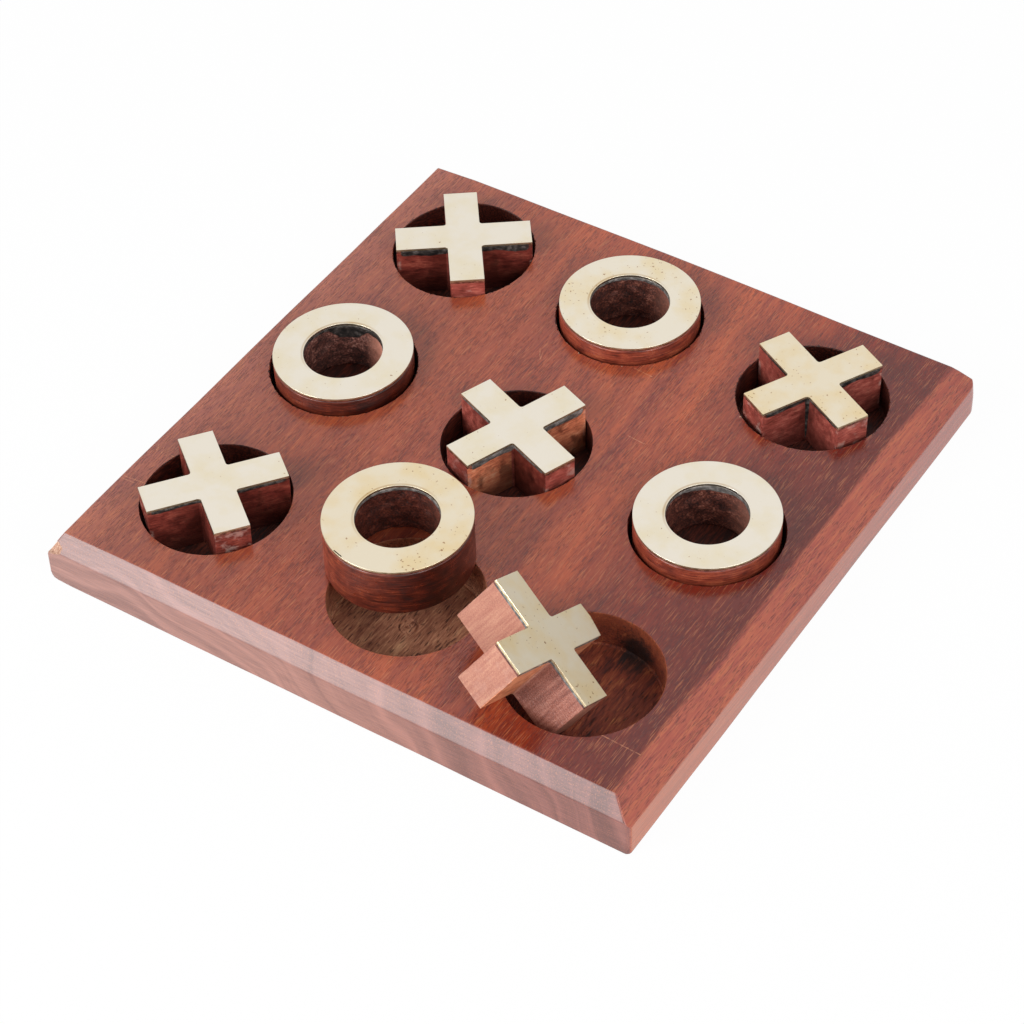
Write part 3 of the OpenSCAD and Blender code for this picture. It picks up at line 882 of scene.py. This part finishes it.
def make_cross(body, number, lie, reaches, run, woods, brasses, glues):
    """A cross: its sawn wood, the glue that shows in its notches, and its brass plate."""
    turned = Matrix.Identity(4)
    for angle, axis in zip(lie, "ZYZ"):
        turned = turned @ Matrix.Rotation(math.radians(angle), 4, axis)
    place = stand_on(body + "_wood", turned, X_WOOD_H)
    grain = Matrix.Translation((0, 0, STACK * number))
    ends = [[(reach, -ARM_HALF), (reach, ARM_HALF)] for reach in reaches]
    if body == WORN_BODY:
        ends[0] = WORN_END

    sawn = make_cross_shape(ends, 0, 0, X_WOOD_H, 0.15)
    slice_across(sawn, Vector((0, 0, 1)), 1.5, X_WOOD_H, 2)
    roughen(sawn, 0.06, 3, number, lambda co: on_flats(co, X_WOOD_H))
    past_notch = ARM_HALF + 0.4
    # The front notch face and the sides facing its own -Y take woods of their own, which carry painted shade
    # and light
    paint(sawn, 1, lambda co: abs(co.x + ARM_HALF) < ON_FACE and co.y < -past_notch)
    paint(sawn, 2, lambda co: abs(co.y + ARM_HALF) < ON_FACE and abs(co.x) > past_notch)
    finish_piece(body + "_body", sawn, body, woods, place, grain, body + "_wood")

    glue_foot = X_WOOD_H - GLUE_LAP
    bead = make_cross_shape(ends, -0.05, glue_foot, GLUE_LAP + GLUE_T, 0.1)
    for normal in (Vector((1, 0, 0)), Vector((0, 1, 0))):
        slice_across(bead, normal, -16, 16.5, 0.3)
    run_glue(bead, glue_foot, run, number, DRIPS.get(body, NO_DRIP))
    paint(bead, 1, lambda co: max(abs(co.x), abs(co.y)) > THIN_GLUE_FROM)
    finish_piece(body + "_bead", bead, body, glues, place, grain, body + "_glue")

    plate = make_cross_shape(ends, 0, X_WOOD_H + GLUE_T, PLATE_T, 0.08)
    paint(plate, 1, lambda co: co.z < X_WOOD_H + GLUE_T + PLATE_T - 0.06)
    finish_piece(body + "_brass", plate, body, brasses, place, grain, body + "_plate")


def make_ring(body, number, wide, long, run, woods, brasses, glues):
    """A ring: its turned wood with a rough bore, the glue that shows in the bore, and its brass plate."""
    place = stand_on(body + "_wood", Matrix.Diagonal((wide, long, 1, 1)), O_WOOD_H)
    grain = Matrix.Translation((0, 0, STACK * number)) @ Matrix.Rotation(math.radians(RING_TURN), 4, "Z")

    turned = make_ring_shape(PIECE_R, 0, O_WOOD_H, 0.3)
    slice_across(turned, Vector((0, 0, 1)), 0.6, O_WOOD_H, 0.6)
    paint(turned, 1, lambda co: co.xy.length < RING_HOLE_R + ON_FACE)
    roughen(turned, 0.08, 4, number, lambda co: on_flats(co, O_WOOD_H))
    roughen(turned, 0.3, 1.8, number, lambda co: on_flats(co, O_WOOD_H) or co.xy.length > RING_HOLE_R + 0.5)
    finish_piece(body + "_body", turned, body, woods, place, grain, body + "_wood")

    glue_foot = O_WOOD_H - GLUE_LAP
    glue_top = O_WOOD_H + GLUE_T
    bead = make_ring_shape(PIECE_R - 0.2, glue_foot, glue_top, 0.1)
    drip = DRIPS.get(body, NO_DRIP)
    run_glue(bead, glue_foot, run, number, drip, lambda co: co.xy.length > RING_HOLE_R + 0.5)
    paint(bead, 1, lambda co: co.xy.length > RING_HOLE_R + 1)
    finish_piece(body + "_bead", bead, body, glues, place, grain, body + "_glue")

    plate_top = glue_top + PLATE_T
    plate = make_ring_shape(PIECE_R, glue_top, plate_top, 0.08)
    paint(plate, 1, lambda co: co.z < plate_top - 0.06 and co.xy.length > PIECE_R - 0.06)
    finish_piece(body + "_brass", plate, body, brasses, place, grain, body + "_plate")


# Camera, lights and floor, in metres

def make_camera():
    """The photograph's camera, worked out from the edges of the board and its pieces."""
    at = (0.27578, -0.41467, 0.49225)
    back = Vector((0.3946, -0.5855, 0.7082)).normalized()
    right = Vector((0.8415, 0.5398, -0.0225))
    right = (right - back * right.dot(back)).normalized()
    turned = Matrix((right, back.cross(right), back)).transposed().to_4x4()
    camera = bpy.data.cameras.new("camera")
    camera.sensor_width = 36
    camera.lens = 106.85
    camera.clip_start = 0.01
    thing = new_object("camera", camera)
    thing.matrix_world = Matrix.Translation(at) @ turned
    bpy.context.scene.camera = thing


def make_softbox(name, at, side, radiance):
    """A square lamp that looks at the board and is as bright as a white wall times its radiance."""
    lamp = bpy.data.lights.new(name, "AREA")
    lamp.shape = "RECTANGLE"
    lamp.size = side
    lamp.size_y = side
    lamp.energy = radiance * math.pi * side * side
    thing = new_object(name, lamp)
    thing.location = at
    thing.rotation_mode = "QUATERNION"
    thing.rotation_quaternion = (-Vector(at)).to_track_quat("-Z", "Y")


def make_world():
    """A white studio: even soft light, white behind the object, and dimmer near the floor in reflections."""
    world = bpy.data.worlds.new("white studio")
    bpy.context.scene.world = world
    world.use_nodes = True
    tree = world.node_tree
    tree.nodes.clear()
    seen = add(tree, "LightPath")
    height = add(tree, "SeparateXYZ", (add(tree, "TexCoord").outputs["Generated"],)).outputs[2]
    glow = add(tree, "ValToRGB", (height,), stops=[(0.0, 0.8), (0.5, 0.7), (0.8, 0.3), (1.0, 0.15)])
    soft = add(tree, "Background", {"Color": "#ffffff", "Strength": glow})
    white = add(tree, "Background", {"Color": "#ffffff", "Strength": 1.0})
    clear = (seen.outputs["Is Camera Ray"], seen.outputs["Is Transmission Ray"])
    behind = add(tree, "Math", clear, operation="MAXIMUM")
    straight = add(tree, "MixShader", (behind, soft, white))
    level = add(tree, "MapRange", {"Value": height, "From Max": 0.6, "To Min": 0.5})
    mirrored = add(tree, "Background", {"Color": "#ffffff", "Strength": level})
    glossy = seen.outputs["Is Glossy Ray"]
    add(tree, "OutputWorld", {"Surface": add(tree, "MixShader", (glossy, straight, mirrored))})


def make_floor():
    """A wide sheet of card, a hair's breadth below the board."""
    bm = bmesh.new()
    bmesh.ops.create_grid(bm, x_segments=1, y_segments=1, size=3)
    floor = new_object("floor", new_mesh("floor", bm, [make_card()]))
    floor.location.z = -0.0001


bpy.context.scene.view_settings.view_transform = "Standard"
make_camera()
make_world()
make_floor()
make_softbox("key front left", at=(-0.43, -0.86, 0.53), side=0.6, radiance=7.5)
make_softbox("fill right", at=(0.85, -0.3, 0.65), side=0.6, radiance=4.2)

make_board([make_board_wood(), make_bored_wood(), make_torn_wood(), make_shaded_pocket_wood()])

# Woods of the crosses: dark red-brown under stain and painted shade, red-brown with a shine, bright
# orange-pink painted light, pinkish and matt, duller brown painted shadow, and pale orange painted light
# with little stain
dark_wood = make_sawn_wood(
    "sheesham, sawn, stained and painted shade", ("#481814", "#742f27", "#8b3e33", "#a85a49"),
    stain_and_shade_share=0.7, roughness=0.35,
)
red_wood = make_sawn_wood(
    "sheesham, sawn and lacquered", ("#642a22", "#91443a", "#a85349", "#c67463"),
    stain_and_shade_share=0.6, roughness=0.35,
)
painted_lit_wood = make_sawn_wood(
    "sheesham, sawn, painted lit", ("#9e543e", "#d67a58", "#ef936c", "#fbb892"),
    stain_and_shade_share=0.8, roughness=0.35,
)
dry_wood = make_sawn_wood(
    "sheesham, sawn and left dry", ("#a46855", "#b27562", "#bd826c", "#c9957b"),
    stain_and_shade_share=0.06, roughness=0.6, layers=(3.5, 0.9, 9), bloom_level=0.12,
)
painted_shadow_wood = make_sawn_wood(
    "sheesham, sawn, painted in shadow", ("#713a30", "#925546", "#a96b5a", "#c08473"),
    stain_and_shade_share=0.24, roughness=0.4, layers=(3.5, 1.1, 9), bloom_level=0.12,
)
painted_lit_orange_wood = make_sawn_wood(
    "sheesham, sawn, painted lit orange", ("#a85c40", "#d0805c", "#e4966c", "#f0b088"),
    stain_and_shade_share=0.1, roughness=0.4,
)

# Woods of the rings: one side a little or quite darkened by painted shade and end grain, and bores that are
# dark brown, painted pale with light on one side, or painted nearly black as deep shade
turned_wood = make_turned_wood("sheesham, turned and lacquered", shade_level=0.4)
dark_turned_wood = make_turned_wood("sheesham, turned, end grain darkened by painted shade", shade_level=1.0)
ring_bore = make_ring_bore(
    "sheesham, bored and smeared", ("#1a0a08", "#42201a", "#6b382c", "#a36d5b"), painted_light_share=0.3,
)
lit_bore = make_ring_bore(
    "sheesham, bored, painted lit on one side", ("#1c0f0e", "#452823", "#76483e", "#b98b7d"), painted_light_share=1.0,
)
# The standing ring's bore is painted nearly black as deep shade
dark_bore = make_ring_bore(
    "sheesham, bored, painted deep shade", ("#1d0a07", "#3f1811", "#5f2a1e", "#854a38"), painted_light_share=0.1,
)

# Brass of the plates: nearly white and clean, or yellower and more specked, and for the rings with a golden
# line round the hole, painted as the reflection of a worn bevel
brass = make_brass("brass sheet, rubbed flat", "#ebe3d4", "#e8dcc0", speck_level=0.93)
yellow_brass = make_brass("brass sheet, tarnished", "#e9ddc5", "#e7d2a8", speck_level=0.9)
ring_brass = make_brass(
    "brass ring, rubbed flat", "#ebe3d4", "#e8dcc0", speck_level=0.93, reflects_bevel=True,
)
yellow_ring_brass = make_brass(
    "brass ring, yellowed", "#ebe2d0", "#e9d8b4", speck_level=0.89, reflects_bevel=True,
)
nicked_brass = make_brass(
    "brass ring, tarnished", "#e9ddc5", "#e7d2a8", speck_level=0.9, reflects_bevel=True, nicks=NICKS,
)
brass_edge = make_brass_edge()

# Glue: black with stain, grey, and thin enough to show the wood's red
dark_glue = make_glue("epoxy, stained dark", ("#1b1a1a", "#34302e", "#5e5855"))
grey_glue = make_glue("epoxy, grey", ("#4a4644", "#6a6663", "#938d8a"))
thin_glue = make_glue("epoxy, thin over wood", ("#4a221a", "#753f32", "#9a6453"))

# What each cross is made of: its wood at the ends, in its front notch and on the sides that face its own -Y,
# then its brass and its glue. Where the notch and side woods differ from the ends, they carry painted shade
# and painted light.
CROSS_MATERIALS = {
    "x_back_left": ([red_wood, dark_wood, dark_wood], brass, dark_glue),
    "x_back_right": ([red_wood, red_wood, red_wood], yellow_brass, dark_glue),
    "x_centre": ([red_wood, dark_wood, painted_lit_wood], brass, grey_glue),
    "x_front_left": ([dark_wood, dark_wood, dark_wood], brass, dark_glue),
    "x_front_right": ([dry_wood, painted_shadow_wood, painted_lit_orange_wood], yellow_brass, grey_glue),
}
for number, (body, (lie, reaches, run)) in enumerate(CROSSES.items()):
    woods, sheet, glue = CROSS_MATERIALS[body]
    make_cross(body, number, lie, reaches, run, woods, [sheet, brass_edge], [glue, thin_glue])

# What each ring is made of: its wood outside and in its bore, its brass and its glue
RING_MATERIALS = {
    "o_back_middle": ([turned_wood, ring_bore], yellow_ring_brass, grey_glue),
    "o_middle_left": ([dark_turned_wood, lit_bore], ring_brass, dark_glue),
    "o_middle_right": ([turned_wood, ring_bore], ring_brass, grey_glue),
    "o_front_middle": ([dark_turned_wood, dark_bore], nicked_brass, grey_glue),
}
for number, (body, (wide, long, run)) in enumerate(RINGS.items(), FIRST_RING):
    woods, sheet, glue = RING_MATERIALS[body]
    make_ring(body, number, wide, long, run, woods, [sheet, brass_edge], [glue, thin_glue])
